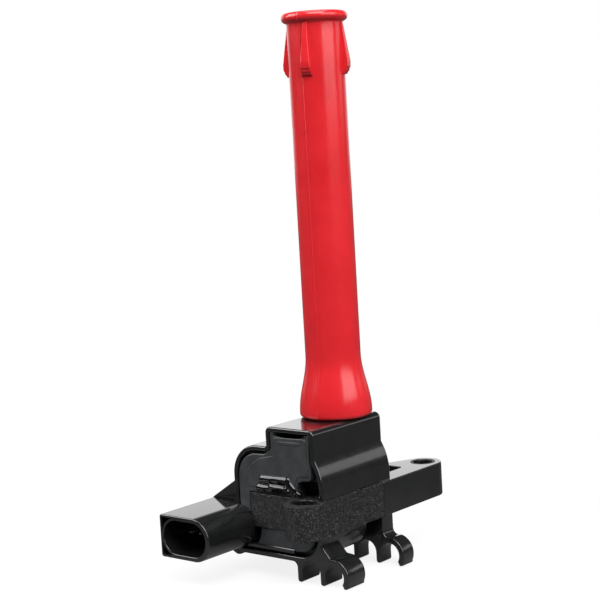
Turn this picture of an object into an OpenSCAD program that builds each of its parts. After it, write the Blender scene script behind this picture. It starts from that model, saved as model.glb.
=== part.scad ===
// Wasted-spark ignition coil with a long plug boot, a bolted laminated core and clips for two leads.
// The design is drawn about the boot's axis, with Z = 0 on the mounting face, and is then
// moved so that the front bolt hole's centre on the mounting face is the part's origin.

/* [Case] */
// From the boot's axis to the open front of the case
case_front = 25; // [24:0.5:28]
// From the boot's axis to the back of the case
case_back = 11; // [10.5:0.5:13]
// Thickness of the case's moulded walls
wall = 1.6; // [1.2:0.1:2]
// Half of the width of the raised top under the boot
hat_half = 10; // [9:0.5:10.5]
// Height of the raised top above the mounting face
hat_top = 22.5; // [21:0.5:25]
// Radius along the raised top's upper corners
hat_corner = 2; // [1.8:0.1:2.5]
// Height of the high shoulder, on the connector's side
shoulder_top = 15.8; // [15:0.2:17]
// Radius of the high shoulder
shoulder_r = 10.3; // [9.5:0.1:11]
// Radius of the low shoulder, on the core's side
low_shoulder_r = 19; // [18.5:0.1:19.5]
// Height of the connector pocket's roof where it meets the shoulder
pocket_high = 4; // [3:0.5:4.5]
// How far the connector pocket reaches back into the case
pocket_depth = 16; // [14:0.5:18]

/* [Core] */
// Thickness of the stack of laminations
core_t = 11.5; // [11:0.1:12]
// Width of the core's outer leg, which is also the boss's diameter
leg_w = 12.8; // [12:0.1:13.4]
// Distance from the boot's axis to the core's outer face
leg_face = 14; // [14:0.1:14.4]
// Thickness of the front and back yokes
yoke_t = 6.4; // [5.5:0.1:6.5]
// How far the front yoke reaches towards the connector
yoke_reach = 18; // [17.5:0.1:18.4]
// Width of the inner leg that the windings are on
inner_w = 8; // [7:0.1:8]

/* [Fixing] */
// Distance between the two bolt holes, along the core
hole_pitch = 65; // [62:0.5:67]
// Radius of the bolt holes, inside their bushes
bolt_r = 3.3; // [3.1:0.05:3.4]
// Wall of the steel bushes
bush_wall = 0.9; // [0.8:0.1:1.2]

/* [Connector] */
// Width of the connector's mouth
mouth_w = 21.6; // [20:0.2:22]
// Height of the connector's mouth
mouth_h = 14.2; // [13.5:0.1:14.6]
// From the boot's axis to the connector's mouth
mouth_x = 47.5; // [45:0.5:50]
// Depth of the connector's cavity
mouth_depth = 17; // [15:0.5:18]
// Wall of the connector's shell
shell_wall = 1.5; // [1.2:0.1:1.7]
// Distance between neighbouring terminal pins
pin_pitch = 4.4; // [4.2:0.1:4.6]

/* [Lead clips] */
// Distance between the two channels of a clip
clip_pitch = 9.4; // [9.2:0.05:9.6]
// Width of each channel, for a 7 mm lead
channel_w = 7.4; // [7.2:0.1:7.5]
// Length of the front clip along the lead
front_clip_l = 9; // [7:0.5:10]
// Length of the rear clip along the lead
rear_clip_l = 6; // [5:0.5:6.5]

/* [Boot] */
// Length of the boot
boot_l = 131.8; // [128:0.2:134]
// Radius of the boot's tube
boot_r = 9.15; // [9:0.05:9.4]
// Radius of the flare at the boot's foot
flare_r = 12; // [11.5:0.1:12.5]
// Height of the flare
flare_h = 21; // [19:0.5:23]
// Radius of the bead round the boot's mouth
bead_r = 10.8; // [10.5:0.1:11.2]
// Thickness of the bead
bead_t = 3.2; // [2.8:0.1:3.6]
// Length of the boot's ribs below the bead
rib_l = 17.5; // [15:0.5:19]
// Radius that the ribs reach
rib_r = 11.2; // [10.8:0.1:11.6]
// Radius of the bore that grips the spark plug's insulator
plug_r = 5.1; // [5:0.05:5.2]
// Depth of that bore
plug_depth = 33; // [31:0.5:34]

/* [Hidden] */

$fn = 64;
// A little more than nothing, so that cutters pass through the faces they cut
eps = 0.1;
clear = 0.2;                   // gap left between pieces that don't touch

// Case
depth = case_front + case_back;
side_wall = 24.9;              // outer face of the case on the connector's side
core_wall = 12.9;              // outer face of the case above the core's outer leg
shoulder_y = side_wall - shoulder_r;
shoulder_z = shoulder_top - shoulder_r;
low_y = low_shoulder_r - core_wall;
low_z = 2.6;
tray_bottom = -21;
tray_turn = -2;                // where the tray's bottom starts to curve up to the core
tray_round_l = 24;             // length of the curved side, from the front
tray_narrow = -3.5;            // the tray's side behind the curved one, clear of the clips' channels
pocket_side = 38.2;            // outer face of the connector pocket
pocket_top = -4.5;
tray_top = pocket_top - mouth_h;       // where the lower tray meets the case
pocket_front = 22;
pocket_bottom = -20.4;
core_back = 5.4;               // where the core's outer leg ends and the lug begins
lug_side = 7;                  // the lug's side where it leaves the case
lug_turn = 69;                 // angle at which its side runs into its round end
lug_corner = [-6, 10.1];       // corner of its side, from the rear bolt hole
lug_window = [1.4, 8.8];       // sides of its opening, from the row of bolt holes
lug_bridge = 10;               // from the opening to the rear bolt hole

// Core
core_inner = -leg_face + leg_w;        // inner face of the outer leg
hole_x = -case_front - 3.2;            // front bolt hole, in the core's boss
hole_y = -leg_face + leg_w / 2;
lug_x = hole_x + hole_pitch;
slot_side = yoke_reach + 1.3;          // the case's slots end here, clear of the yokes
inner_y = 12;                          // centre line of the inner leg and the windings
inner_z = -core_t / 2;
magnet_t = 1.2;
window_front = -case_front + yoke_t;
window_back = core_back - yoke_t;

// Resin, set back from the open front
resin_recess = 0.4;
pocket_recess = 5;
void_depth = 7;                        // hollow in the resin above the core's boss
void_side = -3;
void_h = 5.5;

// Windings, as half sizes across the inner leg
bobbin_wall = 0.9;
leg_gap = 0.15;
primary_in = [inner_w / 2 + leg_gap, core_t / 2 + leg_gap];
primary_tube = primary_in + [bobbin_wall, bobbin_wall];
primary_out = primary_tube + [1.6, 1.6];
secondary_in = primary_out + [0.5, 0.5];
secondary_tube = secondary_in + [bobbin_wall, bobbin_wall];
secondary_out = secondary_tube + [1.9, 1.9];
flange_t = 1;
wire_drop = 0.1;                       // how far the wire stays below its flanges

// Straps and strips that join the windings to the pins and the terminal
strip_w = 1;
strap_t = 0.8;
lead_top = [-2, -5];                   // height of the supply and trigger leads
lead_run = [3, 4.5];                   // how far they run back from the pins
earth_end = 8.5;
riser = [4, 3, 4.2];                   // strip beside the tower: distance forward, inner and outer side

// Tower, terminal and what the boot holds
tower_r = 7.5;
tower_top = 42;
stud_r = 2;
stud_low = 13;
stud_head_r = 3.4;
stud_top = 46;
boot_z = hat_top + 0.2;
boot_top = boot_z + boot_l;
tower_bore = tower_r + 0.06;
tower_bore_top = tower_top + 1.3;
head_bore = 4.2;
rod_r = 3;
rod_z = 46.4;
rod_top = 92;
guide_r = 4.3;
contact_r = 4.24;
nut_r = 4.6;                   // room for the plug's terminal, past the end of its insulator
nut_l = 6;
lip_t = 1.2;                   // lip that holds the contact in its guide
lip_z = boot_top - plug_depth - nut_l - lip_t;
lip_r = 3.68;
contact_flange_t = 1.8;
contact_base_z = lip_z - clear - contact_flange_t;
contact_l = 9;
nose_r = 3.6;
cup_r = 2.9;
cup_floor = 3;
spring_r = 3.4;
spring_wire = 0.45;
spring_turns = 8;
rib_count = 4;
rib_angle = 19;                // of the first rib, from the case's back towards the connector's side
rib_w = 3;
rib_top = boot_top - bead_t + 0.5;

// Connector
mouth_y = pocket_side - mouth_w / 2;
mouth_z = pocket_top - mouth_h / 2;
near_y = pocket_side - mouth_w + mouth_h / 2;      // centre of the round side
far_y = pocket_side - mouth_h / 2;
root_l = 6;
root_inset = wall + eps;
pin_y = [for (i = [-1 : 1]) mouth_y + i * pin_pitch];
pin_t = 0.8;
pin_w = 1.6;
pin_out = mouth_x - 7;
pin_in = 14;

// Lead clips
prong_t = clip_pitch - channel_w;
clip_y = -6.2;                 // centre of the inner channel
clip_z = -24;                  // centre of both channels' round tops
clip_tip = -27.5;
rear_clip_x = 4.5;
prong_curl = 1.1;              // how far the outer prong's tip curls in
front_web = [-10, -core_t - 4];        // outer side and top of the front clip's web
rear_stem = -13;                       // outer side of the rear clip's stem
under_rib = [28, -19.5];       // centre of the rounded rib under the connector
under_rib_r = 3.9;
under_rib_l = 12;

module part_frame() translate([-hole_x, -hole_y, 0]) children();
// An outline drawn across the part, as [y, z], and drawn out along X from x0 for l
module along_x(x0, l) translate([x0, 0, 0]) rotate([90, 0, 90]) linear_extrude(l) children();
module box(lo, hi) translate(lo) cube(hi - lo);
module span(lo, hi) translate(lo) square(hi - lo);

// Rounded rectangle, as a cross of two squares and four circles
module rounded(lo, hi, r) {
    span([lo.x + r, lo.y], [hi.x - r, hi.y]);
    span([lo.x, lo.y + r], [hi.x, hi.y - r]);
    for (x = [lo.x + r, hi.x - r], y = [lo.y + r, hi.y - r]) translate([x, y]) circle(r);
}

// Outline of the case above the mounting face, drawn in by t
module upper_outline(t) {
    rounded([-hat_half + t, t], [hat_half - t, hat_top - t], hat_corner - t / 2);
    translate([shoulder_y, shoulder_z]) circle(shoulder_r - t);
    span([core_inner + t, 0], [shoulder_y, shoulder_top - t]);
    span([core_inner + t, 0], [side_wall - t, shoulder_z]);
    intersection() {
        translate([low_y, low_z]) circle(low_shoulder_r - t);
        span([-core_wall, low_z], [0, hat_top - t]);
    }
    span([-core_wall + t, t], [0, low_z + eps]);
}

// The whole chamber's outline, drawn in by t
module chamber_outline(t) {
    upper_outline(t);
    span([core_inner + t, tray_top], [side_wall - t, eps]);
}

// The connector pocket's outline, with its sloping roof, drawn in by t
module pocket_outline(t) {
    polygon([
        [side_wall - 2 * wall, pocket_high + wall - t],
        [side_wall, pocket_high - t],
        [pocket_side - t, pocket_top - t],
        [pocket_side - t, pocket_bottom + t],
        [side_wall, pocket_bottom + t],
        [side_wall, tray_top],
        [side_wall - 2 * wall, tray_top]
    ]);
}

module yoke_slot(x0, x1) {
    box([x0, -leg_face - eps, -core_t], [x1, slot_side, 0]);
}

module lug_plan() {
    span([core_back, -leg_face], [lug_x, hole_y]);
    translate([lug_x, hole_y]) circle(leg_w / 2);
    polygon([
        [core_back, hole_y], [lug_x, hole_y],
        [lug_x + leg_w / 2 * cos(lug_turn), hole_y + leg_w / 2 * sin(lug_turn)],
        [lug_x + lug_corner.x, hole_y + lug_corner.y],
        [case_back + lug_side, lug_side], [case_back - wall / 2, lug_side], [core_back, core_inner]
    ]);
}

module case_shell() color([0.11, 0.11, 0.12]) part_frame() {
    difference() {
        union() {
            along_x(-case_front, depth) chamber_outline(0);
            along_x(-pocket_front, pocket_depth) pocket_outline(0);
            translate([0, 0, -core_t]) linear_extrude(core_t) lug_plan();
            cylinder(h = tower_top, r = tower_r);
        }
        along_x(-case_front - eps, depth - wall + eps) chamber_outline(wall);
        along_x(-pocket_front - eps, pocket_depth - wall + eps) pocket_outline(wall);
        along_x(-case_front - eps, case_front - pocket_front + 2 * eps) {
            connector_outline(0);
            span([side_wall - wall - eps, tray_top - eps], [side_wall, mouth_z]);
        }
        // Room for the core's outer leg, its two yokes and the lower tray
        box([-case_front - eps, -leg_face - eps, -core_t - eps], [core_back, core_inner, 0]);
        yoke_slot(-case_front - eps, window_front);
        yoke_slot(window_back, core_back);
        below = [-case_front - eps, -leg_face - eps, tray_bottom];
        box(below, [case_back - wall, core_inner + wall + eps, -core_t]);
        box(below, [case_back + eps, core_inner, -core_t]);
        // Opening of the lug beside its bolt hole, and the rear bush's seat
        box([case_back + wall, hole_y + lug_window[0], -core_t - eps],
            [lug_x - lug_bridge, hole_y + lug_window[1], eps]);
        translate([lug_x, hole_y, -core_t - eps]) cylinder(h = core_t + 2 * eps, r = bolt_r + bush_wall);
        // Bore for the high-tension terminal
        translate([0, 0, hat_top - 2 * wall]) cylinder(h = tower_top, r = stud_r);
    }
}

// Outline of the front of the tray, which curves up to the core's outer leg, drawn in by t
module tray_round(t) {
    span([tray_turn - eps, tray_bottom + t], [side_wall - t, tray_top]);
    intersection() {
        translate([tray_turn, -core_t]) circle(-core_t - tray_bottom - t);
        span([-leg_face, tray_bottom + t], [core_inner, -core_t]);
    }
}

// Outline of the back of the tray, which is narrower, drawn in by t
module tray_back(t) {
    span([tray_narrow + t, tray_bottom + t], [side_wall - t, tray_top]);
    span([tray_narrow + t, tray_bottom + t], [core_inner, -core_t]);
}

// Two channels side by side, with three prongs, below a web whose top is at the height given
module clip_outline(web_in, web_out, web_top) {
    difference() {
        union() {
            for (i = [0, 1]) translate([clip_y - i * clip_pitch, clip_z]) circle(channel_w / 2 + prong_t);
            span([clip_y - channel_w / 2 - prong_t, clip_tip], [clip_y + channel_w / 2 + prong_t, clip_z]);
            polygon([
                [web_in, web_top], [web_out, web_top],
                [web_out, clip_z + channel_w / 2 + prong_t / 2],
                [clip_y - clip_pitch, clip_z + channel_w / 2 + prong_t], [clip_y - clip_pitch, clip_z],
                [clip_y + channel_w / 2 + prong_t, clip_z], [web_in, clip_z + channel_w / 2 + prong_t]
            ]);
        }
        for (i = [0, 1]) translate([clip_y - i * clip_pitch, clip_z]) circle(channel_w / 2);
        span([clip_y - channel_w / 2, clip_tip - eps], [clip_y + channel_w / 2, clip_z]);
        // The outer prong curls in under its channel
        span([clip_y - clip_pitch - channel_w / 2 + prong_curl, clip_tip - eps],
            [clip_y - clip_pitch + channel_w / 2, clip_z]);
        span([clip_y - 2 * clip_pitch, 2 * clip_tip], [clip_y + clip_pitch, clip_tip]);
    }
}

module lower_tray() color([0.12, 0.12, 0.13]) part_frame() {
    difference() {
        union() {
            along_x(-case_front, tray_round_l) tray_round(0);
            along_x(-case_front + tray_round_l - wall, depth - tray_round_l + wall) tray_back(0);
            along_x(-case_front, front_clip_l) clip_outline(tray_turn, front_web[0], front_web[1]);
            along_x(rear_clip_x, rear_clip_l) clip_outline(tray_narrow + wall, rear_stem, -core_t);
            along_x(-pocket_front, under_rib_l) intersection() {
                translate(under_rib) circle(under_rib_r);
                span([side_wall - wall, 2 * tray_bottom], [pocket_side, pocket_bottom]);
            }
        }
        along_x(-case_front - eps, tray_round_l - wall + eps) tray_round(wall);
        along_x(-case_front + tray_round_l - wall - eps, depth - tray_round_l + eps) tray_back(wall);
        // Flush with the core's underside
        box([-case_front - eps, -leg_face - eps, -core_t], [case_back + eps, core_inner, 0]);
    }
}

// The connector's outline: square on the outer side, round on the other
module connector_outline(t) {
    r = mouth_h / 2 - t;
    translate([near_y, mouth_z]) circle(r);
    span([near_y, mouth_z - r], [pocket_side - t, mouth_z + r]);
}

// The cavity's outline, rounded at both ends
module cavity_outline() {
    r = mouth_h / 2 - shell_wall;
    for (y = [near_y, far_y]) translate([y, mouth_z]) circle(r);
    span([near_y, mouth_z - r], [far_y, mouth_z + r]);
}

module pin_slots(x0, x1) {
    for (y = pin_y) box([x0, y - pin_w / 2, mouth_z - pin_t / 2], [x1, y + pin_w / 2, mouth_z + pin_t / 2]);
}

module connector_shell() color([0.13, 0.13, 0.14]) part_frame() {
    difference() {
        union() {
            along_x(-mouth_x, mouth_x - pocket_front) connector_outline(0);
            along_x(-pocket_front - eps, root_l + eps) connector_outline(root_inset);
        }
        along_x(-mouth_x - eps, mouth_depth + eps) cavity_outline();
        // Clear of the front yoke's end and of the windings
        box([-case_front - clear, 0, tray_bottom], [0, yoke_reach + clear, 0]);
        box([window_front - clear, 0, tray_bottom], [0, inner_y + secondary_out.x + clear, 0]);
        pin_slots(-mouth_x, 0);
    }
}

// One terminal pin, straight back through the shell into the resin
module pin(y) {
    box([-pin_out, y - pin_w / 2, mouth_z - pin_t / 2], [-pin_in, y + pin_w / 2, mouth_z + pin_t / 2]);
}

module supply_pin() color([0.75, 0.68, 0.5]) part_frame() pin(pin_y[0]);
module trigger_pin() color([0.75, 0.68, 0.5]) part_frame() pin(pin_y[1]);
module earth_pin() color([0.75, 0.68, 0.5]) part_frame() pin(pin_y[2]);

// Space that the inner leg and everything wound round it fill
module winding_space() {
    translate([0, inner_y, inner_z]) {
        box([window_front, -secondary_out.x, -secondary_out.y], [window_back, secondary_out.x, secondary_out.y]);
    }
}

module core_plan() {
    span([-case_front, -leg_face], [window_front, yoke_reach]);
    span([window_back, -leg_face], [core_back, yoke_reach]);
    span([hole_x, -leg_face], [core_back, core_inner]);
    translate([hole_x, hole_y]) circle(leg_w / 2);
}

module core_frame() color([0.16, 0.16, 0.17]) part_frame() {
    difference() {
        translate([0, 0, -core_t]) linear_extrude(core_t) core_plan();
        translate([hole_x, hole_y, -core_t - eps]) cylinder(h = core_t + 2 * eps, r = bolt_r + bush_wall);
    }
}

module core_leg() color([0.3, 0.3, 0.32]) part_frame() {
    box([window_front + magnet_t, inner_y - inner_w / 2, -core_t], [window_back, inner_y + inner_w / 2, 0]);
}

module core_magnet() color([0.25, 0.25, 0.27]) part_frame() {
    box([window_front, inner_y - inner_w / 2, -core_t], [window_front + magnet_t, inner_y + inner_w / 2, 0]);
}

module bush(x) {
    translate([x, hole_y, -core_t]) difference() {
        cylinder(h = core_t, r = bolt_r + bush_wall);
        translate([0, 0, -eps]) cylinder(h = core_t + 2 * eps, r = bolt_r);
    }
}

module front_bush() color([0.6, 0.6, 0.62]) part_frame() bush(hole_x);
module rear_bush() color([0.6, 0.6, 0.62]) part_frame() bush(lug_x);

// A rectangular ring round the inner leg, from half sizes inside to half sizes outside
module ring(x0, x1, inside, outside) {
    along_x(x0, x1 - x0) translate([inner_y, inner_z]) difference() {
        span(-outside, outside);
        span(-inside, inside);
    }
}

module bobbin(inside, tube, outside) {
    ring(window_front, window_back, inside, tube);
    ring(window_front, window_front + flange_t, inside, outside);
    ring(window_back - flange_t, window_back, inside, outside);
}

module primary_bobbin() color([0.2, 0.2, 0.21]) part_frame() {
    bobbin(primary_in, primary_tube, primary_out);
}

module secondary_bobbin() color([0.85, 0.83, 0.76]) part_frame() {
    bobbin(secondary_in, secondary_tube, secondary_out);
}

module primary_winding() color([0.72, 0.35, 0.16]) part_frame() {
    ring(window_front + flange_t, window_back - flange_t, primary_tube, primary_out - [wire_drop, wire_drop]);
}

module secondary_winding() color([0.76, 0.4, 0.2]) part_frame() {
    ring(window_front + flange_t, window_back - flange_t, secondary_tube, secondary_out - [wire_drop, wire_drop]);
}

// A strap from a pin's inner end up into the resin beside the windings
module lead(i) {
    y = pin_y[i] - strip_w / 2;
    box([-pin_in, y, mouth_z - strap_t / 2], [-pin_in + strip_w, y + strip_w, lead_top[i]]);
    box([-pin_in, y, lead_top[i] - strip_w], [-pin_in + lead_run[i], y + strip_w, lead_top[i]]);
}

// A strap straight back from the earth pin
module earth_run() {
    y = pin_y[2] - strip_w / 2;
    box([-pin_in, y, mouth_z - strap_t / 2], [-earth_end, y + strip_w, mouth_z + strap_t / 2]);
}

// A strip from the secondary winding up and across to the terminal
module riser_strip() {
    top = stud_low + strip_w;
    box([-riser[0] - strip_w, riser[1], inner_z + secondary_out.y], [-riser[0], riser[2], top]);
    box([-riser[0] - strip_w, -strip_w / 2, stud_low], [-riser[0], riser[2], top]);
    box([-riser[0] - strip_w, -strip_w / 2, stud_low], [0, strip_w / 2, top]);
}

module supply_lead() color([0.72, 0.35, 0.16]) part_frame() lead(0);
module trigger_lead() color([0.72, 0.35, 0.16]) part_frame() lead(1);
module earth_strap() color([0.7, 0.7, 0.66]) part_frame() earth_run();

module ht_lead() color([0.75, 0.68, 0.5]) part_frame() {
    difference() {
        riser_strip();
        translate([0, 0, stud_low - eps]) cylinder(h = strip_w + 2 * eps, r = stud_r);
    }
}

module ht_terminal() color([0.8, 0.66, 0.38]) part_frame() {
    translate([0, 0, stud_low]) cylinder(h = stud_top - stud_low, r = stud_r);
    translate([0, 0, tower_top]) cylinder(h = stud_top - tower_top, r = stud_head_r);
}

// Cast round everything in the case, the tray and the connector's pocket
module resin_fill() color([0.18, 0.18, 0.19]) part_frame() {
    difference() {
        union() {
            along_x(-case_front + resin_recess, depth - wall - resin_recess) {
                chamber_outline(wall);
                span([core_inner - eps, tray_top - eps], [core_inner + wall + eps, -core_t]);
            }
            along_x(-case_front + resin_recess, tray_round_l - wall - resin_recess) tray_round(wall);
            along_x(-case_front + tray_round_l - wall, depth - tray_round_l) tray_back(wall);
            along_x(-pocket_front + pocket_recess, pocket_depth - wall - pocket_recess) pocket_outline(wall);
        }
        translate([0, 0, -core_t]) linear_extrude(core_t) core_plan();
        winding_space();
        along_x(-case_front, case_front - pocket_front + root_l) connector_outline(0);
        // Open hollow above the core's boss
        box([-case_front, -core_wall, 0], [-case_front + void_depth, void_side, void_h]);
        pin_slots(-mouth_x, -pin_in);
        lead(0);
        lead(1);
        earth_run();
        riser_strip();
        translate([0, 0, stud_low]) cylinder(h = stud_top, r = stud_r);
    }
}

module suppressor_rod() color([0.87, 0.85, 0.8]) part_frame() {
    translate([0, 0, rod_z]) cylinder(h = rod_top - rod_z, r = rod_r);
}

// Round wire swept along a helix, drawn as one closed skin
module contact_spring() color([0.7, 0.7, 0.72]) part_frame() {
    sides = 6;
    steps = 14 * spring_turns;
    low = rod_top + spring_wire;
    rise = contact_base_z - rod_top - 2 * spring_wire;
    points = [for (i = [0 : steps], k = [0 : sides - 1])
        let (a = 360 * spring_turns * i / steps, b = 360 * k / sides, r = spring_r + spring_wire * cos(b))
        [r * cos(a), r * sin(a), low + rise * i / steps + spring_wire * sin(b)]];
    skin = [for (i = [0 : steps - 1], k = [0 : sides - 1])
        let (n = (k + 1) % sides)
        [i * sides + k, i * sides + n, (i + 1) * sides + n, (i + 1) * sides + k]];
    ends = [[for (k = [sides - 1 : -1 : 0]) k], [for (k = [0 : sides - 1]) steps * sides + k]];
    polyhedron(points, concat(skin, ends));
}

module plug_contact() color([0.8, 0.66, 0.38]) part_frame() {
    difference() {
        union() {
            translate([0, 0, contact_base_z]) cylinder(h = contact_flange_t, r = contact_r);
            translate([0, 0, contact_base_z]) cylinder(h = contact_l, r = nose_r);
        }
        translate([0, 0, contact_base_z + cup_floor]) cylinder(h = contact_l, r = cup_r);
    }
}

// Half of the boot's section, from its axis outwards
module boot_outline() {
    polygon([
        [0, boot_z], [flare_r - 1.2, boot_z], [flare_r - 0.3, boot_z + 0.8], [flare_r, boot_z + 2.2],
        [flare_r - 1, boot_z + 0.39 * flare_h], [boot_r + 0.6, boot_z + 0.7 * flare_h],
        [boot_r, boot_z + 0.94 * flare_h], [boot_r, boot_top], [0, boot_top]
    ]);
    span([0, boot_top - bead_t], [bead_r - bead_t / 2, boot_top]);
    translate([bead_r - bead_t / 2, boot_top - bead_t / 2]) circle(bead_t / 2);
}

module boot() color([0.84, 0.14, 0.17]) part_frame() {
    difference() {
        union() {
            rotate_extrude() intersection() {
                boot_outline();
                span([0, boot_z], [2 * flare_r, boot_top]);
            }
            for (i = [0 : rib_count - 1]) rotate([90, 0, rib_angle + 360 * i / rib_count]) {
                translate([0, 0, -rib_w / 2]) linear_extrude(rib_w) polygon([
                    [boot_r - 1, rib_top], [boot_r, rib_top], [rib_r, rib_top - 0.78 * rib_l],
                    [rib_r - 0.2, rib_top - 0.9 * rib_l], [rib_r - 1, rib_top - rib_l],
                    [boot_r - 1, rib_top - rib_l]
                ]);
            }
        }
        translate([0, 0, boot_z - eps]) cylinder(h = tower_bore_top - boot_z + eps, r = tower_bore);
        translate([0, 0, boot_z]) cylinder(h = rod_z - boot_z, r = head_bore);
        translate([0, 0, boot_z]) cylinder(h = rod_top - boot_z, r = rod_r);
        translate([0, 0, rod_top]) cylinder(h = lip_z - rod_top, r = guide_r);
        translate([0, 0, rod_top]) cylinder(h = lip_z + lip_t - rod_top, r = lip_r);
        translate([0, 0, lip_z + lip_t]) cylinder(h = nut_l + eps, r = nut_r);
        translate([0, 0, boot_top - plug_depth]) cylinder(h = plug_depth + eps, r = plug_r);
    }
}

case_shell();
lower_tray();
connector_shell();
resin_fill();
core_frame();
core_leg();
core_magnet();
front_bush();
rear_bush();
primary_bobbin();
primary_winding();
secondary_bobbin();
secondary_winding();
supply_pin();
trigger_pin();
earth_pin();
supply_lead();
trigger_lead();
earth_strap();
ht_lead();
ht_terminal();
suppressor_rod();
contact_spring();
plug_contact();
boot();
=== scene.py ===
"""Ignition coil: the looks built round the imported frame.

Lengths inside this script are millimetres about the boot's axis, with Z = 0 on the mounting face;
put() turns them into metres in the frame.
"""

import math

import bmesh
import bpy
from mathutils import Matrix, Vector


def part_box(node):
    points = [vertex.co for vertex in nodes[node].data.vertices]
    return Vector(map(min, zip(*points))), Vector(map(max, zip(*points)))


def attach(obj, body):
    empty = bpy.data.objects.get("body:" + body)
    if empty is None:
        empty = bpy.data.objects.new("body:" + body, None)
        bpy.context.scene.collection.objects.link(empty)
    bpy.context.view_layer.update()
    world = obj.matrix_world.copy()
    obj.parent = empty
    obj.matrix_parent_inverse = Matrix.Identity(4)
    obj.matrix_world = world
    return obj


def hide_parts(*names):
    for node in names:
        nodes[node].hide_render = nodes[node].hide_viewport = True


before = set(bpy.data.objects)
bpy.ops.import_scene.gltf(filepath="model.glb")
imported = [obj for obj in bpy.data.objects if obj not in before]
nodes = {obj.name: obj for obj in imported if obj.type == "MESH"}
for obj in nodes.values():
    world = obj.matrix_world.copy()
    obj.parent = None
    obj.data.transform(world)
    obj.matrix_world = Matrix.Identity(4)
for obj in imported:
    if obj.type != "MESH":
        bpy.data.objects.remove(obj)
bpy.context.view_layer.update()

MM = 0.001
boot_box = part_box("boot")
AXIS = (boot_box[0] + boot_box[1]) / 2
AXIS.z = 0


def span_of(node):
    """Lowest and highest corner of a CAD node, in mm about the boot's axis."""
    low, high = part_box(node)
    return (low - AXIS) / MM, (high - AXIS) / MM


# ---- Sizes taken from the frame ----
tray_low, tray_high = span_of("lower_tray")
core_low, core_high = span_of("core_frame")
shell_low, shell_high = span_of("connector_shell")
case_low = span_of("case_shell")[0]
boot_low, boot_high = span_of("boot")
terminal_low, terminal_high = span_of("ht_terminal")
front_bush = sum(span_of("front_bush"), Vector()) / 2
rear_bush = sum(span_of("rear_bush"), Vector()) / 2

FRONT, BACK = tray_low.x, tray_high.x        # open front and closed back of the case
CORE_T = -core_low.z                         # thickness of the core
LEG_FACE = core_low.y                        # outer face of the core
LEG_IN = LEG_FACE + 12.8                     # inner face of the core's outer leg
YOKE_T = 6.4
YOKE_ROOM = 19.3                             # where the case's rooms for the two yokes end
EYE_R = 6.4                                  # outer radius round both bolt holes
BUSH_SEAT_R = 4.2
WALL = 1.6
OVER = 1                                     # how far a cutter runs past the face that it opens
SNUG = 0.02                                  # gap between the resin and what it fills
HAT_HALF = 10                                # half the width of the case's raised top
HAT_TOP = boot_low.z - 0.2
SIDE = 24.9                                  # the case's outer face on the connector's side
CORE_WALL = -12.9                            # its outer face above the core
SHOULDER_TOP = 15.8
LOW_SHOULDER = (6.1, 2.6, 19)                # centre and radius of the shoulder above the core
TRAY_TOP = -18.7
TRAY_BOTTOM = -21
TRAY_TURN = (-2, -CORE_T, 9.5)               # centre and radius of the tray's curved side
TRAY_BREAK = FRONT + 24                      # where the curved side ends
TRAY_NARROW = -3.5                           # the tray's side behind that, towards the core
POCKET_FRONT, POCKET_BACK = -22, -6
POCKET_TOP = shell_high.z
POCKET_SIDE = shell_high.y
MOUTH = shell_low.x
ROOT_END = -16                               # where the connector ends inside the case
MOUTH_R = (shell_high.z - shell_low.z) / 2
MOUTH_Z = (shell_high.z + shell_low.z) / 2
TOWER_R, TOWER_TOP = 7.5, 42
STUD_R = 2
BOOT_R, FLARE_R, FLARE_H, BEAD_R = 9.15, 12, 21, 10.8
CLIP_R, PRONG_T = 3.7, 2.0
CLIP_TIP = tray_low.z
CLIP_CENTRES = ((-6.2, -24), (-15.6, -24))


# ---- Outlines ----
def arc(centre_u, centre_v, radius, start, end, turn=6):
    """Points of an arc, from one angle to the other, in degrees."""
    steps = max(2, round(abs(end - start) / turn))
    angles = [math.radians(start + (end - start) * k / steps) for k in range(steps + 1)]
    return [(centre_u + radius * math.cos(a), centre_v + radius * math.sin(a), 0) for a in angles]


def outline(corners, turn=9):
    """Closed outline through corners (u, v, radius), anticlockwise, with each corner rounded."""
    points = []
    count = len(corners)
    for i, (u, v, radius) in enumerate(corners):
        here = Vector((u, v))
        if radius <= 0:
            points.append(here)
            continue
        to_before = (Vector(corners[i - 1][:2]) - here).normalized()
        to_after = (Vector(corners[(i + 1) % count][:2]) - here).normalized()
        half = to_before.angle(to_after) / 2
        centre = here + (to_before + to_after).normalized() * (radius / math.sin(half))
        first = here + to_before * (radius / math.tan(half)) - centre
        last = here + to_after * (radius / math.tan(half)) - centre
        start = math.atan2(first.y, first.x)
        sweep = (math.atan2(last.y, last.x) - start + math.pi) % (2 * math.pi) - math.pi
        steps = max(2, round(math.degrees(abs(sweep)) / turn))
        for k in range(steps + 1):
            a = start + sweep * k / steps
            points.append(centre + Vector((math.cos(a), math.sin(a))) * radius)
    clean = [p for i, p in enumerate(points) if (p - points[i - 1]).length > 0.004]
    area = sum(p.x * clean[(i + 1) % len(clean)].y - p.y * clean[(i + 1) % len(clean)].x
               for i, p in enumerate(clean))
    return clean if area > 0 else clean[::-1]


def inset(points, distance):
    """The outline moved inwards; a negative distance moves it outwards."""
    moved = []
    for i, p in enumerate(points):
        a = (p - points[i - 1]).normalized()
        b = (points[(i + 1) % len(points)] - p).normalized()
        side_a, side_b = Vector((-a.y, a.x)), Vector((-b.y, b.x))
        moved.append(p + (side_a + side_b) * (distance / max(1 + side_a.dot(side_b), 0.25)))
    return moved


# ---- Solids ----
def put(x, y, z):
    """A place in the frame, from mm about the boot's axis."""
    return AXIS + Vector((x, y, z)) * MM


PLACES = {
    "X": lambda t, u, v: put(t, u, v),
    "Y": lambda t, u, v: put(u, t, v),
    "Z": lambda t, u, v: put(u, v, t),
}


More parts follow.
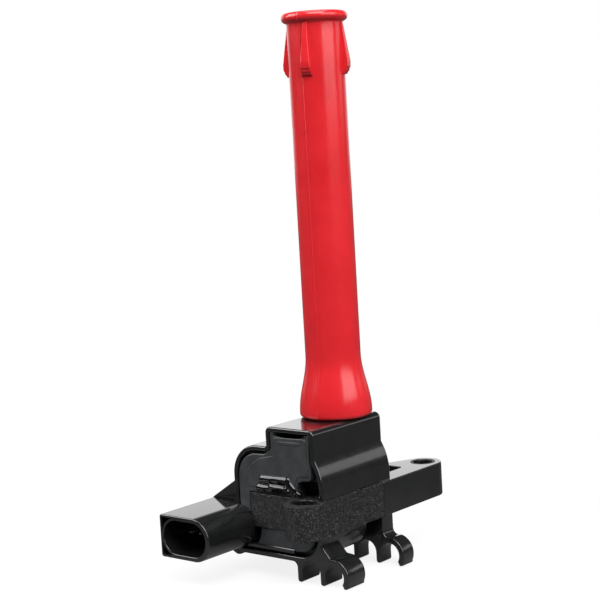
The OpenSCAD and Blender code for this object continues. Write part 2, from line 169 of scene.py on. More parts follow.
def solid(name, mesh):
    """An object from a bmesh, with its faces turned outwards."""
    bmesh.ops.recalc_face_normals(mesh, faces=mesh.faces)
    data = bpy.data.meshes.new(name)
    mesh.to_mesh(data)
    mesh.free()
    made = bpy.data.objects.new(name, data)
    bpy.context.scene.collection.objects.link(made)
    return made


def skin(mesh, rings):
    """Faces between rings of vertices, closed at both ends."""
    for low, high in zip(rings, rings[1:]):
        for i in range(len(low)):
            j = (i + 1) % len(low)
            mesh.faces.new((low[i], low[j], high[j], high[i]))
    mesh.faces.new(rings[0][::-1])
    mesh.faces.new(rings[-1])


def prism(name, points, axis, low, high, edge_low=0.0, edge_high=0.0, steps=4):
    """An outline drawn out along an axis.

    A positive edge rounds that end; a negative one flares it, for a cutter.
    """
    def end(edge, at, way):
        if edge == 0:
            return [(at, 0)]
        size = abs(edge)
        turns = [math.pi / 2 * k / steps for k in range(steps + 1)]
        levels = [(at + way * size * (1 - math.cos(a)), edge * (1 - math.sin(a))) for a in turns]
        return levels if edge > 0 else [(at - way * 1.5, edge)] + levels
    levels = end(edge_low, low, 1) + end(edge_high, high, -1)[::-1]
    mesh = bmesh.new()
    place = PLACES[axis]
    skin(mesh, [[mesh.verts.new(place(t, p.x, p.y)) for p in inset(points, d)] for t, d in levels])
    return solid(name, mesh)


def box(name, low, high, edge=0.0):
    """A block with rounded ends along Z."""
    (x0, y0, z0), (x1, y1, z1) = low, high
    corners = [(x0, y0, edge), (x1, y0, edge), (x1, y1, edge), (x0, y1, edge)]
    return prism(name, outline(corners), "Z", z0, z1, edge, edge)


def turned(name, profile, angles, reach_at=lambda angle, r: r, centre=Vector()):
    """A closed ring section (r, z) turned about a vertical axis, through the angles given in degrees."""
    mesh = bmesh.new()
    loops = []
    for angle in angles:
        a = math.radians(angle)
        ring = []
        for r, z in profile:
            reach = reach_at(angle, r)
            spot = centre + Vector((reach * math.cos(a), reach * math.sin(a), z))
            ring.append(mesh.verts.new(put(*spot)))
        loops.append(ring)
    for i, ring in enumerate(loops):
        after = loops[(i + 1) % len(loops)]
        for k in range(len(ring)):
            n = (k + 1) % len(ring)
            mesh.faces.new((ring[k], after[k], after[n], ring[n]))
    return solid(name, mesh)


def capped(name, profile, steps=72):
    """A profile (r, z), from its foot up, turned about the boot's axis and closed by flat ends."""
    mesh = bmesh.new()
    turns = [2 * math.pi * k / steps for k in range(steps)]
    rings = [[mesh.verts.new(put(r * math.cos(a), r * math.sin(a), z)) for a in turns] for r, z in profile]
    skin(mesh, rings)
    return solid(name, mesh)


def bake(piece):
    """Applies a piece's modifiers."""
    bpy.context.view_layer.update()
    shape = piece.evaluated_get(bpy.context.evaluated_depsgraph_get())
    data = bpy.data.meshes.new_from_object(shape)
    piece.modifiers.clear()
    piece.data = data


def combine(piece, others, how):
    """Adds solids to a piece or cuts them out of it, and removes them."""
    for other in others:
        change = piece.modifiers.new("solid", "BOOLEAN")
        change.operation = how
        change.solver = "MANIFOLD"
        change.object = other
        bake(piece)
        bpy.data.objects.remove(other)
    return piece


def add(piece, *others):
    """Joins solids to a piece."""
    return combine(piece, others, "UNION")


def cut(piece, *others):
    """Cuts solids out of a piece."""
    return combine(piece, others, "DIFFERENCE")


def fit(piece, body, slot, material, *replaced, sharp=38, weighted=True):
    """Smooths a finished piece, gives it its material and ties it to the frame."""
    mesh = bmesh.new()
    mesh.from_mesh(piece.data)
    bmesh.ops.remove_doubles(mesh, verts=mesh.verts, dist=2e-6)
    bmesh.ops.dissolve_degenerate(mesh, edges=mesh.edges, dist=1e-6)
    mesh.to_mesh(piece.data)
    mesh.free()
    piece.data.shade_smooth()
    piece.data.set_sharp_from_angle(angle=math.radians(sharp))
    if weighted:
        piece.modifiers.new("shading", "WEIGHTED_NORMAL").keep_sharp = True
    piece.data.materials.clear()
    piece.data.materials.append(material)
    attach(piece, body)
    if replaced:
        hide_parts(*replaced)
    return piece


# ---- Materials ----
WAVE_LENGTH = 0.314                          # of the wave texture at a scale of 1


def shader(name):
    """A new material with its node tree and its main shader."""
    material = bpy.data.materials.new(name)
    material.use_nodes = True
    return material, material.node_tree, material.node_tree.nodes["Principled BSDF"]


def step(tree, kind, inputs=(), **settings):
    """Adds a node. inputs holds (socket, value or linked output)."""
    node = tree.nodes.new(kind)
    for key, value in settings.items():
        setattr(node, key, value)
    for key, value in inputs:
        if isinstance(value, bpy.types.NodeSocket):
            tree.links.new(value, node.inputs[key])
        else:
            node.inputs[key].default_value = value
    return node


def place_in(tree, stretch=(1, 1, 1)):
    """The piece's own coordinates in mm, so that a pattern moves with the piece."""
    where = step(tree, "ShaderNodeTexCoord").outputs["Object"]
    scale = [s / MM for s in stretch]
    return step(tree, "ShaderNodeMapping", [("Vector", where), ("Scale", scale)]).outputs[0]


def noise(tree, where, scale, detail=3.0, rough=0.55):
    """Cloudy values between 0 and 1; scale is in patches per mm."""
    found = step(tree, "ShaderNodeTexNoise",
                 [("Vector", where), ("Scale", scale), ("Detail", detail), ("Roughness", rough)])
    return found.outputs["Fac"]


def spread(tree, value, low, high, from_low=0.3, from_high=0.7):
    """A value between from_low and from_high, spread from low to high."""
    return step(tree, "ShaderNodeMapRange",
                [("Value", value), ("From Min", from_low), ("From Max", from_high),
                 ("To Min", low), ("To Max", high)]).outputs[0]


def times(tree, first, second):
    """The product of two values."""
    return step(tree, "ShaderNodeMath", [(0, first), (1, second)], operation="MULTIPLY").outputs[0]


def bands(tree, where, pitch, direction, distortion):
    """Even bands across an axis, pitch mm apart."""
    return step(tree, "ShaderNodeTexWave",
                [("Vector", where), ("Scale", WAVE_LENGTH / pitch), ("Distortion", distortion)],
                bands_direction=direction).outputs["Fac"]


def mix(tree, factor, first, second):
    """A colour between two colours."""
    found = step(tree, "ShaderNodeMix", [("Factor", factor), (6, first), (7, second)], data_type="RGBA")
    return found.outputs[2]


def feed(bsdf, socket, output):
    """Links an output to one of the shader's sockets."""
    bsdf.id_data.links.new(output, bsdf.inputs[socket])


def bumps(tree, bsdf, *layers):
    """Stacks bumps (height, strength, distance in mm) under the shader's normal."""
    normal = None
    for height, strength, distance in layers:
        node = step(tree, "ShaderNodeBump",
                    [("Height", height), ("Strength", strength), ("Distance", distance * MM)])
        if normal:
            tree.links.new(normal, node.inputs["Normal"])
        normal = node.outputs[0]
    feed(bsdf, "Normal", normal)


def grey(value, warm=0.0):
    """A grey; warm above 0 leans it to red, and below 0 to blue."""
    return (value * (1 + warm), value, value * (1 - warm), 1)


def case_plastic(name, shade=0.007, rough=0.20):
    """Glass-filled moulding: satin, faintly mottled, with dust, and brighter where a face looks up."""
    material, tree, bsdf = shader(name)
    where = place_in(tree)
    cloud = noise(tree, where, 0.12, 4)
    grain = noise(tree, where, 5.0, 2)
    dust = spread(tree, noise(tree, where, 2.4, 5, 0.7), 0, 1, 0.70, 0.78)
    body = mix(tree, spread(tree, cloud, 0, 1), grey(shade * 0.8, -0.05), grey(shade * 1.25, -0.04))
    feed(bsdf, "Base Color", mix(tree, times(tree, dust, 0.16), body, grey(0.3)))
    roughness = spread(tree, noise(tree, where, 0.5, 5), rough * 0.85, rough * 1.25)
    facing = step(tree, "ShaderNodeTexCoord").outputs["Normal"]
    upwards = step(tree, "ShaderNodeSeparateXYZ", [("Vector", facing)]).outputs["Z"]
    polish = spread(tree, upwards, 1, 0.3, 0.9, 0.98)
    relief = times(tree, polish, 0.07)
    feed(bsdf, "Roughness", times(tree, roughness, polish))
    bsdf.inputs["Coat Weight"].default_value = 0.6
    bsdf.inputs["Coat Roughness"].default_value = 0.08
    bumps(tree, bsdf, (cloud, relief, 0.15), (grain, relief, 0.02))
    return material


def resin_material():
    """Cast epoxy: matte skin with slow ripples."""
    material, tree, bsdf = shader("potting_resin")
    where = place_in(tree)
    ripple = noise(tree, where, 0.22, 3)
    fine = noise(tree, where, 2.2, 4)
    feed(bsdf, "Base Color", mix(tree, spread(tree, ripple, 0, 1), grey(0.024, -0.08), grey(0.042, -0.09)))
    feed(bsdf, "Roughness", spread(tree, fine, 0.34, 0.52))
    bumps(tree, bsdf, (ripple, 0.45, 0.5), (fine, 0.18, 0.06))
    return material


def gloss_resin_material():
    """The same epoxy where it ran and set bright."""
    material, tree, bsdf = shader("gloss_resin")
    where = place_in(tree)
    ripple = noise(tree, where, 0.35, 0)
    feed(bsdf, "Base Color", mix(tree, spread(tree, ripple, 0, 1), grey(0.002), grey(0.004)))
    feed(bsdf, "Roughness", spread(tree, ripple, 0.03, 0.09))
    bsdf.inputs["IOR"].default_value = 1.5
    bumps(tree, bsdf, (ripple, 0.5, 0.6))
    return material


def core_material(name="laminated_core", pitch=0.5):
    """Black coating over a stack of laminations: coarse and pitted, with pale flecks painted into its colour
    as glints.
    """
    material, tree, bsdf = shader(name)
    where = place_in(tree)
    pits = noise(tree, where, 2.3, 4, 0.7)
    blotch = noise(tree, where, 0.5, 4, 0.6)
    streak = noise(tree, place_in(tree, (1.6, 1.6, 0.12)), 1.0, 3)
    bits = step(tree, "ShaderNodeTexVoronoi", [("Vector", where), ("Scale", 4.5)]).outputs["Color"]
    bright = step(tree, "ShaderNodeSeparateColor", [("Color", bits)]).outputs[0]
    layers = bands(tree, where, pitch, "Z", 0.6)
    dark = mix(tree, spread(tree, blotch, 0, 1, 0.35, 0.65), grey(0.004, -0.03), grey(0.012, -0.03))
    # Pale flecks painted into the base colour: painted glints of light on the coating
    painted_glint_flecks = times(tree, spread(tree, bright, 0, 1, 0.88, 0.96), 0.5)
    feed(bsdf, "Base Color", mix(tree, painted_glint_flecks, dark, grey(0.22)))
    feed(bsdf, "Roughness", spread(tree, pits, 0.24, 0.55))
    bsdf.inputs["Specular IOR Level"].default_value = 0.28
    bumps(tree, bsdf, (layers, 0.10, 0.06), (streak, 0.35, 0.12), (pits, 1.0, 0.22), (bright, 0.6, 0.08))
    return material


def silicone_material():
    """Red silicone rubber: satin, slightly translucent, with a little dust."""
    material, tree, bsdf = shader("red_silicone")
    where = place_in(tree)
    cloud = noise(tree, where, 0.07, 4)
    fine = noise(tree, where, 3.0, 3)
    specks = spread(tree, noise(tree, where, 1.5, 3, 0.8), 0, 1, 0.74, 0.79)
    red = mix(tree, spread(tree, cloud, 0, 1), (0.57, 0.014, 0.019, 1), (0.67, 0.020, 0.027, 1))
    dusty = (0.95, 0.50, 0.48, 1)
    feed(bsdf, "Base Color", mix(tree, times(tree, specks, 0.35), red, dusty))
    feed(bsdf, "Roughness", spread(tree, noise(tree, where, 0.8, 4), 0.16, 0.26))
    bsdf.inputs["Subsurface Weight"].default_value = 0.12
    bsdf.inputs["Subsurface Radius"].default_value = (0.0016, 0.0004, 0.0003)
    bsdf.inputs["Subsurface Scale"].default_value = 1.0
    bumps(tree, bsdf, (cloud, 0.2, 0.4), (fine, 0.05, 0.02))
    return material


def metal_material(name, colour, rough, brushed=(1, 1, 1), dirt=0.25):
    """Turned or rolled metal with brush marks and dull patches."""
    material, tree, bsdf = shader(name)
    lines = noise(tree, place_in(tree, brushed), 6.0, 3)
    patch = noise(tree, place_in(tree), 0.6, 4)
    clean = colour + (1,)
    dull = tuple(c * (1 - dirt) for c in colour) + (1,)
    feed(bsdf, "Base Color", mix(tree, spread(tree, patch, 0, 1), dull, clean))
    feed(bsdf, "Roughness", spread(tree, patch, rough * 0.7, rough * 1.4))
    bsdf.inputs["Metallic"].default_value = 1.0
    bumps(tree, bsdf, (lines, 0.2, 0.03))
    return material


def winding_material(name, pitch):
    """Enamelled wire laid turn beside turn along X, darker in the grooves between turns as painted shade."""
    material, tree, bsdf = shader(name)
    turns = bands(tree, place_in(tree), pitch, "X", 0.8)
    # The colour darkens where the bands sink: painted shade in the grooves between turns
    feed(bsdf, "Base Color", mix(tree, turns, (0.20, 0.055, 0.02, 1), (0.72, 0.26, 0.09, 1)))
    feed(bsdf, "Roughness", spread(tree, turns, 0.5, 0.25, 0, 1))
    bsdf.inputs["Metallic"].default_value = 0.8
    bumps(tree, bsdf, (turns, 0.8, pitch / 2))
    return material


def ceramic_material():
    """Glazed ceramic with fine speckles."""
    material, tree, bsdf = shader("ceramic")
    fine = noise(tree, place_in(tree), 1.6, 5)
    feed(bsdf, "Base Color", mix(tree, spread(tree, fine, 0, 1), grey(0.66, 0.05), grey(0.80, 0.04)))
    feed(bsdf, "Roughness", spread(tree, fine, 0.2, 0.4))
    bumps(tree, bsdf, (fine, 0.15, 0.05))
    return material


PLASTIC = case_plastic("case_plastic")
TRAY_PLASTIC = case_plastic("tray_plastic", rough=0.24)
SHELL_PLASTIC = case_plastic("connector_plastic", rough=0.18)
RESIN = resin_material()
GLOSS_RESIN = gloss_resin_material()
CORE = core_material()
SILICONE = silicone_material()
BLACK_STEEL = metal_material("bush_steel", (0.05, 0.05, 0.052), 0.42, (1, 1, 0.2), dirt=0.5)
BRASS = metal_material("terminal_brass", (0.80, 0.60, 0.30), 0.26, (1, 1, 0.1))
TINNED = metal_material("tinned_brass", (0.35, 0.34, 0.31), 0.45, (0.1, 1, 1))


# ---- The case ----
def case_outline():
    """Outline across the case: the raised top between its two shoulders, and the chamber below."""
    centre_y, centre_z, radius = LOW_SHOULDER
    meet = math.degrees(math.asin((HAT_HALF + centre_y) / radius))
    return outline([
        (LEG_IN, TRAY_TOP, 0), (SIDE, TRAY_TOP, 0), (SIDE, SHOULDER_TOP, 10.3), (HAT_HALF, SHOULDER_TOP, 0.8),
        (HAT_HALF, HAT_TOP, 2), (-HAT_HALF, HAT_TOP, 2),
        *arc(centre_y, centre_z, radius, 90 + meet, 180, 4),
        (CORE_WALL, 0, 0), (LEG_IN, 0, 0),
    ], 7)


def pocket_outline():
    """Outline across the pocket that holds the connector, with its sloping roof."""
    inner, foot_side = SIDE - 2 * WALL, SIDE - 0.5
    return outline([
        (inner, 5.8, 0), (SIDE, 4, 1.2), (POCKET_SIDE, POCKET_TOP, 1.0), (POCKET_SIDE, case_low.z, 1.2),
        (foot_side, case_low.z, 0), (foot_side, TRAY_TOP, 0), (inner, TRAY_TOP, 0),
    ])


def connector_outline():
    """The connector from its mouth: square on the far side, round on the near one."""
    return outline([
        (shell_low.y, shell_high.z, MOUTH_R - 0.05), (shell_low.y, shell_low.z, MOUTH_R - 0.6),
        (POCKET_SIDE, shell_low.z, 0.9), (POCKET_SIDE, shell_high.z, 0.9),
    ], 6)


def lug_outline():
    """Plan of the lug behind the core, with the eye of the rear bolt hole."""
    hole_x, hole_y = rear_bush.x, rear_bush.y
    root_x = core_high.x + 0.12
    return outline([
        (root_x, LEG_FACE, 0.3), (hole_x, LEG_FACE, 0), *arc(hole_x, hole_y, EYE_R, -84, 0),
        *arc(hole_x, hole_y, EYE_R, 6, 62), (hole_x - 6, hole_y + 10.1, 4),
        (BACK + 8, 7, 3), (BACK - 3, 7, 0), (root_x, LEG_IN, 0),
    ], 7)


def seat_outline(bush):
    """Round hole that a bush is pressed into."""
    return outline(arc(bush.x, bush.y, BUSH_SEAT_R, 0, 354))


def make_case():
    """Moulded shell, open at the front, with its pocket, lug and tower."""
    outer, pocket = case_outline(), pocket_outline()
    case = prism("case", outer, "X", FRONT, BACK, 0.6, 0.8, 6)
    add(case, prism("pocket", pocket, "X", POCKET_FRONT, POCKET_BACK, 0.4, 0.7))
    add(case, prism("lug", lug_outline(), "Z", -CORE_T, 0, 0.35, 0.35))
    groove_r, groove_low, groove_high = TOWER_R - 0.35, 36, 38
    tower = [(TOWER_R, HAT_TOP - 3), (TOWER_R, groove_low), (groove_r, groove_low + 0.3),
             (groove_r, groove_high - 0.3), (TOWER_R, groove_high), (TOWER_R, TOWER_TOP - 1),
             (TOWER_R - 0.3, TOWER_TOP - 0.3), (TOWER_R - 1, TOWER_TOP)]
    add(case, capped("tower", tower))
    # Everything that is hollow, opening towards the front
    ahead, below, beside = FRONT - OVER, TRAY_BOTTOM - OVER, LEG_FACE - OVER
    leg_end, wall_in = LEG_IN + 0.01, LEG_IN - OVER
    cut(case,
        prism("chamber", inset(outer, WALL), "X", FRONT, BACK - WALL, -0.45),
        prism("entry", inset(pocket, WALL), "X", POCKET_FRONT, POCKET_BACK - WALL, -0.3),
        box("recess", (ahead, CORE_WALL + WALL, -OVER), (FRONT + YOKE_T, LEG_IN, 4)),
        box("leg_room", (ahead, beside, -CORE_T - OVER), (core_high.x + 0.1, leg_end, 0)),
        box("below_leg", (ahead, beside, below), (BACK + OVER, leg_end, -CORE_T)),
        box("below_wall", (ahead, wall_in, below), (BACK - WALL, LEG_IN + WALL, -CORE_T)),
        box("front_slot", (ahead, wall_in, -CORE_T), (FRONT + YOKE_T, YOKE_ROOM, 0)),
        box("back_slot", (core_high.x - YOKE_T, wall_in, -CORE_T), (core_high.x, YOKE_ROOM, 0)),
        prism("connector_room", inset(connector_outline(), -0.1), "X", ahead, POCKET_FRONT + OVER),
        box("side_room", (ahead, SIDE - WALL - OVER, TRAY_TOP - OVER), (POCKET_FRONT, SIDE + OVER, MOUTH_Z)))
    # Window in the lug and the seat of its bush, both with softened edges
    near_x, far_x = BACK + WALL, rear_bush.x - 10
    near_y, far_y = rear_bush.y + 1.4, rear_bush.y + 8.8
    window = outline([(near_x, near_y, 0.8), (far_x, near_y, 1.5), (far_x, far_y, 2.5), (near_x, far_y, 0.8)])
    cut(case, prism("window", window, "Z", -CORE_T, 0, -0.3, -0.3))
    cut(case, prism("seat", seat_outline(rear_bush), "Z", -CORE_T, 0, -0.3, -0.3))
    # Ejector marks on the closed back
    for y, z in ((-5, 17), (5, 6), (18, 6), (18, -12), (4, -12)):
        mark = outline(arc(y, z, 1.5, 0, 345, 15))
        cut(case, prism("mark", mark, "X", BACK - 0.25, BACK + 0.01, 0, -0.1, 2))
    stud_hole = outline(arc(0, 0, STUD_R + 0.02, 0, 350, 10))
    cut(case, prism("stud_hole", stud_hole, "Z", HAT_TOP - 3, TOWER_TOP, 0, -0.2))
    return fit(case, "coil", "case_plastic", PLASTIC, "case_shell", sharp=24)


# ---- The resin ----
def make_resin():
    """Cast face with its shrinkage gaps and the hollow above the boss."""
    start, end = FRONT + 3.2, BACK - WALL - 0.1
    side, under = 23.2, -CORE_T - 0.05
    base = prism("resin", inset(case_outline(), WALL + SNUG), "X", start, end)
    face = outline([
        (side, TRAY_TOP + 3, 0), (23.0, 12.9, 8.2), (11.5, 13.2, 1.5), (8.4, 15.2, 1.6), (8.4, 20.9, 0.4),
        (0.3, 19.4, 22), (-8.2, 20.8, 0.4), (-7.5, 12, 3), (-8.7, 7.6, 1.0), (-7.4, 5.8, 0.9),
        (-4.1, 5.4, 1.3), (-2.0, 3.4, 1.5), (-2.0, 0.05, 0), (14, 0.05, 0), (18.4, 0.05, 0),
        (18.4, TRAY_TOP + 3, 0),
    ])
    add(base, prism("face", face, "X", FRONT + 0.35, FRONT + 5, 0.55))
    panel = outline([(19.4, 2.0, 1.5), (18.3, 8.5, 3), (13.5, 11.7, 3), (6.6, 13.2, 2), (6.9, 19.2, 1),
                     (-6.8, 19.5, 1), (-6.7, 12, 2), (-7.2, 7.2, 1), (-2.5, 6.8, 1), (-0.6, 2.0, 1)])
    add(base, prism("panel", panel, "X", FRONT + 0.12, FRONT + 2, 0.3))
    bar = outline([(4.9, 18.0, 0.25), (-4.3, 18.2, 0.25), (-4.3, 17.2, 0.25), (4.9, 17.0, 0.25)])
    add(base, prism("bar", bar, "X", FRONT - 0.02, FRONT + 1, 0.15))
    # Resin in the tray, up to a round edge that follows the connector
    turn_y, turn_z, turn_r = TRAY_TURN
    near = shell_low.y + MOUTH_R
    low = outline([
        *arc(near, MOUTH_Z, 9.0, 178, 238), (15.5, -18.3, 2.0), (2.5, -18.4, 3),
        *arc(turn_y, turn_z, turn_r - WALL - 1.5, 255, 184), (-7.4, under, 0),
    ])
    add(base, prism("low_face", low, "X", FRONT + 0.5, FRONT + 5, 0.6))
    tray_floor = -19.3
    tray_fill = outline([(turn_y, tray_floor, 0), (side, tray_floor, 0), (side, under, 0),
                         (turn_y - turn_r + WALL, under, 0),
                         *arc(turn_y, turn_z, turn_r - WALL - 0.05, 186, 264)])
    add(base, prism("tray_fill", tray_fill, "X", start, TRAY_BREAK - WALL - 0.1))
    filling = inset(pocket_outline(), WALL + SNUG)
    add(base, prism("pocket_fill", filling, "X", POCKET_FRONT + 5, POCKET_BACK - WALL - 0.1))
    # Room for the core, the connector's root and the stud, and the gaps seen from the front
    cut(base,
        prism("core_room", inset(core_outline(), -0.03), "Z", -CORE_T - SNUG, SNUG),
        prism("root_room", inset(connector_outline(), -0.05), "X", FRONT - 5, ROOT_END + 0.05),
        box("hollow", (FRONT - OVER, CORE_WALL, -0.5), (FRONT + 7, -2.4, 5.3), 0.4),
        box("side_gap", (FRONT - OVER, CORE_WALL, 3), (FRONT + 6, -8.2, 12), 0.6),
        box("top_gap", (FRONT + 2, -7.6, 19.2), (FRONT + 6, 7.8, HAT_TOP), 0.4),
        capped("stud_room", [(STUD_R + 0.05, 10), (STUD_R + 0.05, 30)], 36))
    return fit(base, "coil", "potting_resin", RESIN, "resin_fill")


def rod(name, start, end, radius, steps=20):
    """A round bar between two points, with round ends."""
    first, last = Vector(start), Vector(end)
    turn = (last - first).to_track_quat("Z", "Y")
    quarter = [math.pi / 2 * k / 5 for k in range(6)]
    rings = [(first, -radius * math.cos(a), radius * math.sin(a)) for a in quarter[1:]]
    rings += [(last, radius * math.cos(a), radius * math.sin(a)) for a in quarter[:0:-1]]
    mesh = bmesh.new()
    loops = []
    for middle, along, r in rings:
        turns = [2 * math.pi * k / steps for k in range(steps)]
        spots = [middle + turn @ Vector((r * math.cos(a), r * math.sin(a), along)) for a in turns]
        loops.append([mesh.verts.new(put(*spot)) for spot in spots])
    skin(mesh, loops)
    return solid(name, mesh)


def make_resin_blob():
    """Two rolls of resin that ran over the front yoke and set bright."""
    x = FRONT + 0.9
    blob = rod("resin_run", (x, 12.4, 4.9), (x - 0.1, 2.0, 5.1), 1.7)
    add(blob,
        rod("lower_run", (x - 0.2, 14.2, 1.9), (x - 0.1, 0.2, 1.7), 1.35),
        rod("front_run", (x - 0.9, 8.6, 2.7), (x - 1.0, 2.6, 2.5), 0.95),
        rod("end_run", (x - 0.4, 1.8, 4.7), (x - 0.1, -0.4, 2.6), 1.3),
        rod("foot_run", (x - 0.1, -0.2, 2.0), (x + 0.4, -2.2, 0.9), 0.95),
        rod("back_run", (x + 1.4, 13.2, 3.0), (x + 1.4, 0.6, 3.0), 2.4),
        rod("front_drip", (FRONT + 0.6, CORE_WALL - 0.3, 0.1), (FRONT + 1.8, CORE_WALL - 0.3, 0.1), 0.4),
        rod("middle_drip", (-7.0, CORE_WALL - 0.2, 0.05), (-5.2, CORE_WALL - 0.3, 0.05), 0.4),
        rod("rear_drip", (-4.4, CORE_WALL - 0.4, 0.0), (-3.1, CORE_WALL - 0.2, 0.1), 0.35))
    smooth = blob.modifiers.new("flow", "REMESH")
    smooth.mode = "VOXEL"
    smooth.voxel_size = 0.17 * MM
    relax = blob.modifiers.new("relax", "SMOOTH")
    relax.factor = 0.5
    relax.iterations = 8
    bake(blob)
    return fit(blob, "coil", "potting_resin", GLOSS_RESIN, sharp=80)


# ---- The core ----
def core_outline():
    """Plan of the core: outer leg, two yokes and the round boss."""
    hole_x, hole_y = front_bush.x, front_bush.y
    back_x, far_y = core_high.x, core_high.y
    meet = math.degrees(math.acos((FRONT - hole_x) / EYE_R))
    return outline([
        (back_x, LEG_FACE, 0.3), (back_x, far_y, 0.4), (back_x - YOKE_T, far_y, 0.4),
        (back_x - YOKE_T, LEG_IN, 0.3), (FRONT + YOKE_T, LEG_IN, 0.3), (FRONT + YOKE_T, far_y, 0.4),
        (FRONT, far_y, 0.5), *arc(hole_x, hole_y, EYE_R, meet, 270, 5),
    ])


def make_core():
    """Laminated core with its front bolt hole."""
    core = prism("core", core_outline(), "Z", -CORE_T, 0, 0.28, 0.28)
    cut(core, prism("core_seat", seat_outline(front_bush), "Z", -CORE_T, 0, -0.35, -0.35))
    return fit(core, "coil", "laminated_core", CORE, "core_frame")


def make_bush(name, middle):
    """Pressed-in bush with rolled ends."""
    outer, bore, half, roll = 4.17, 3.3, CORE_T / 2, 0.25
    steps = 64
    profile = [(bore, -half + roll), (bore + roll, -half), (outer - roll, -half), (outer, -half + roll),
               (outer, half - roll), (outer - roll, half), (bore + roll, half), (bore, half - roll)]
    sleeve = turned(name + "_sleeve", profile, [360 * k / steps for k in range(steps)], centre=middle)
    return fit(sleeve, "coil", "bush_steel", BLACK_STEEL, name)


# ---- The tray and its clips ----
def tray_outline(t):
    """Outline across the front of the tray, moved inwards by t."""
    turn_y, turn_z, turn_r = TRAY_TURN
    return outline([
        (SIDE - t, TRAY_TOP, 0), (LEG_IN, TRAY_TOP, 0), (LEG_IN, -CORE_T, 0),
        *arc(turn_y, turn_z, turn_r - t, 180, 270), (SIDE - t, TRAY_BOTTOM + t, max(1.4 - t / 2, 0.4)),
    ])


def tray_back_outline(t):
    """Outline across the narrower back of the tray, moved inwards by t."""
    side = TRAY_NARROW + t
    return outline([
        (SIDE - t, TRAY_TOP, 0), (LEG_IN, TRAY_TOP, 0), (LEG_IN, -CORE_T, 0), (side, -CORE_T, 0),
        (side, TRAY_BOTTOM + t, 1.0), (SIDE - t, TRAY_BOTTOM + t, max(1.4 - t / 2, 0.4)),
    ])


def clip_outline(web):
    """Three prongs round two channels, seen along the leads, closed by the web's own points."""
    (inner_y, mid_z), (outer_y, _) = CLIP_CENTRES
    reach = CLIP_R + PRONG_T
    tip = 0.85
    return outline([
        (inner_y + reach, TRAY_BOTTOM, 1.8), (inner_y + reach, CLIP_TIP, tip),
        (inner_y + CLIP_R, CLIP_TIP, tip), *arc(inner_y, mid_z, CLIP_R, 0, 180, 8),
        (inner_y - CLIP_R, CLIP_TIP, tip), (outer_y + CLIP_R, CLIP_TIP, tip),
        *arc(outer_y, mid_z, CLIP_R, 0, 214, 8),
        (outer_y - CLIP_R - 0.1, CLIP_TIP - 0.02, 0.5), (outer_y - CLIP_R - 1.4, CLIP_TIP + 0.25, 0.5),
        *arc(outer_y, mid_z, reach, 206, 100, 8), *web,
    ], 10)


def make_tray():
    """Open tray under the core and the windings, with two sets of lead clips."""
    turn_y, turn_z, turn_r = TRAY_TURN
    overlap = TRAY_BREAK - 3
    tray = prism("tray", tray_outline(0), "X", FRONT, TRAY_BREAK, 0.4, 0.8)
    add(tray, prism("tray_back", tray_back_outline(0), "X", overlap, BACK, 0, 0.7))
    cut(tray, prism("tray_room", tray_outline(WALL), "X", FRONT, TRAY_BREAK - WALL, -0.35),
        prism("back_room", tray_back_outline(WALL), "X", overlap, BACK - WALL))
    # Each web joins its clip to the middle of the tray's wall
    half, web_end = WALL / 2, 2.2
    web_r = turn_r - half
    front_web = [(-14.3, -18.2, 0.8), (-11.2, -14.6, 0.6), *arc(turn_y, turn_z, web_r, 198, 268, 7),
                 (web_end, turn_z - web_r, 0), (web_end, TRAY_BOTTOM, 0)]
    stem, side, under = LEG_FACE + 0.7, TRAY_NARROW + half, -CORE_T - 0.02
    back_web = [(stem, -18.9, 2.2), (stem, under, 0), (side, under, 0), (side, TRAY_BOTTOM + half, 0),
                (web_end, TRAY_BOTTOM + half, 0), (web_end, TRAY_BOTTOM, 0)]
    add(tray, prism("front_clip", clip_outline(front_web), "X", FRONT, FRONT + 9, 0.35, 0.35),
        prism("back_clip", clip_outline(back_web), "X", 4.5, 10.5, 0.35, 0.35))
    rib_top, rib_low = -19.6, -21.5
    rib = outline([(24.6, rib_top, 0), (31.8, rib_top, 0), (31.6, rib_low, 1.5), (28, -23.6, 3),
                   (24.4, rib_low, 1.5)])
    add(tray, prism("rib", rib, "X", POCKET_FRONT, POCKET_FRONT + 12, 0.5, 0.8))
    return fit(tray, "coil", "case_plastic", TRAY_PLASTIC, "lower_tray", sharp=30, weighted=False)


# ---- The connector ----
def make_connector():
    """Housing with an oval cavity and a root that goes into the case."""
    shell = prism("connector", connector_outline(), "X", MOUTH, POCKET_FRONT, 0.4)
    add(shell, prism("root", inset(connector_outline(), WALL + 0.15), "X", POCKET_FRONT - 1, ROOT_END))
    cavity_r, cavity_depth = MOUTH_R - 1.5, 17
    near, far = shell_low.y + MOUTH_R, POCKET_SIDE - MOUTH_R
    cavity = outline([*arc(near, MOUTH_Z, cavity_r, 90, 270), *arc(far, MOUTH_Z, cavity_r, -90, 90)])
    cut(shell, prism("cavity", cavity, "X", MOUTH, MOUTH + cavity_depth, -0.3))
    # Moulding pockets in the two square corners
    wall, corner_depth = 0.85, 5
    reach = cavity_r + wall
    corner = MOUTH_R - wall
    lean = math.degrees(math.acos(corner / reach))
    for way in (1, -1):
        curve = arc(far, MOUTH_Z, reach, way * lean, way * (90 - lean))
        pocket = outline([(far + corner, MOUTH_Z + way * corner, 0.4), *(curve if way < 0 else curve[::-1])])
        cut(shell, prism("corner_pocket", pocket, "X", MOUTH, MOUTH + corner_depth, -0.15, 0, 2))
    # The root stays clear of the front yoke and the windings
    low, high, winding_side = -30, 10, 22.1
    cut(shell, box("yoke_room", (FRONT - 0.1, 0, low), (0, core_high.y + 0.1, high)),
        box("winding_room", (FRONT + YOKE_T - 0.1, 0, low), (0, winding_side, high)))
    return fit(shell, "coil", "case_plastic", SHELL_PLASTIC, "connector_shell")


